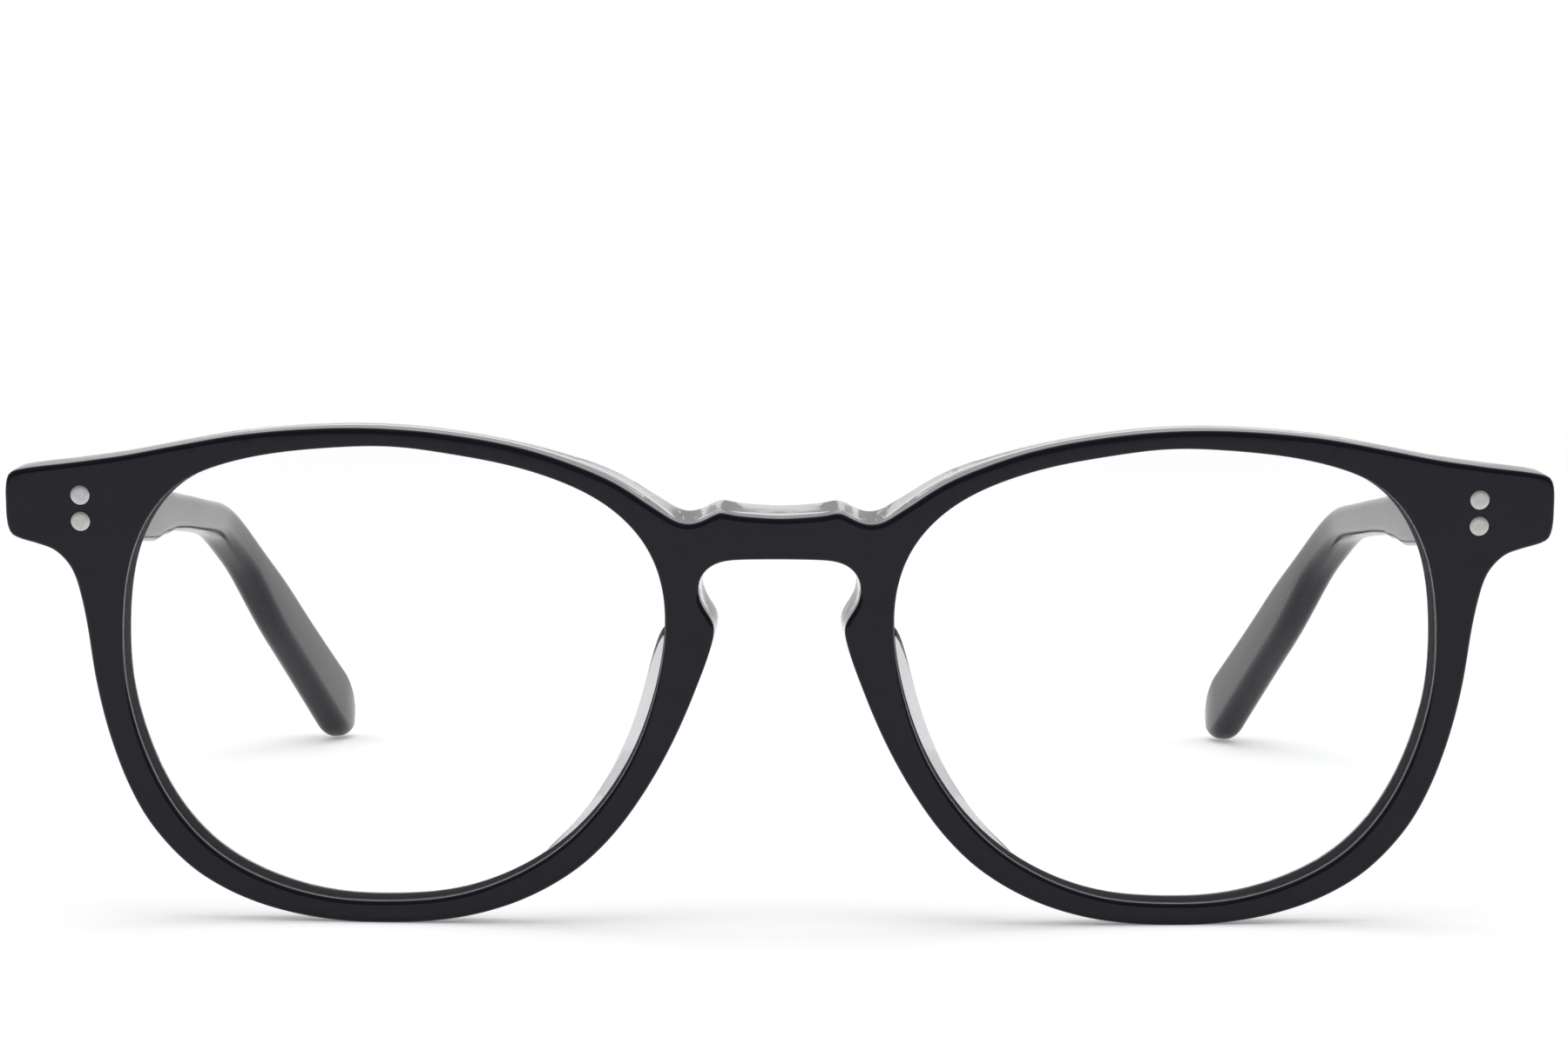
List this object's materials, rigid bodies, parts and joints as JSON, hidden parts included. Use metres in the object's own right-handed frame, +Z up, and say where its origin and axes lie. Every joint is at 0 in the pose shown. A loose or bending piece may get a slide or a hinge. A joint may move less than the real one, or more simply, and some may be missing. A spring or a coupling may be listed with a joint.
{
  "type": "eyeglasses",
  "caption": "Soft-square acetate eyeglasses with a keyhole bridge, a black front on a clear back layer, clear nose pads, and temples that fold on riveted hinges.",
  "frame": {"origin": "middle of the floor rectangle under the open glasses, at the height of the rim bottoms and temple tips that they stand on", "axes": "+Z up, -Y the way the front faces, +X to the right in the picture, which is the wearer's left"},
  "size_m": [0.1428, 0.1502, 0.0465],
  "materials": {
    "black_acetate": "polished",
    "clear_acetate": "polished, clear",
    "demo_lens": "clear, uncoated",
    "rivet_steel": "polished flush",
    "hinge_steel": "satin",
    "core_steel": "drawn wire"
  },
  "bodies": {
    "front": {"front_black_layer": "black_acetate", "front_crystal_layer": "clear_acetate", "lens_left": "demo_lens", "lens_right": "demo_lens", "nose_pad_left": "clear_acetate", "nose_pad_right": "clear_acetate", "front_rivets_left": "rivet_steel", "front_rivets_right": "rivet_steel", "hinge_front_leaf_left": "hinge_steel", "hinge_front_leaf_right": "hinge_steel", "hinge_screw_left": "hinge_steel", "hinge_screw_right": "hinge_steel"},
    "temple_left": {"temple_left": "black_acetate", "core_wire_left": "core_steel", "hinge_temple_leaf_left": "hinge_steel", "temple_rivets_left": "rivet_steel"},
    "temple_right": {"temple_right": "black_acetate", "core_wire_right": "core_steel", "hinge_temple_leaf_right": "hinge_steel", "temple_rivets_right": "rivet_steel"}
  },
  "joints": [
    {"name": "temple_right_fold", "type": "hinge", "parent": "front", "child": "temple_right", "pos_m": [0.0649, -0.06437, 0.03919], "axis": [0, 0, 1], "range_deg": [0, 84]},
    {"name": "temple_left_fold", "type": "hinge", "parent": "front", "child": "temple_left", "pos_m": [-0.0649, -0.06437, 0.03919], "axis": [0, 0, -1], "range_deg": [0, 76]}
  ]
}
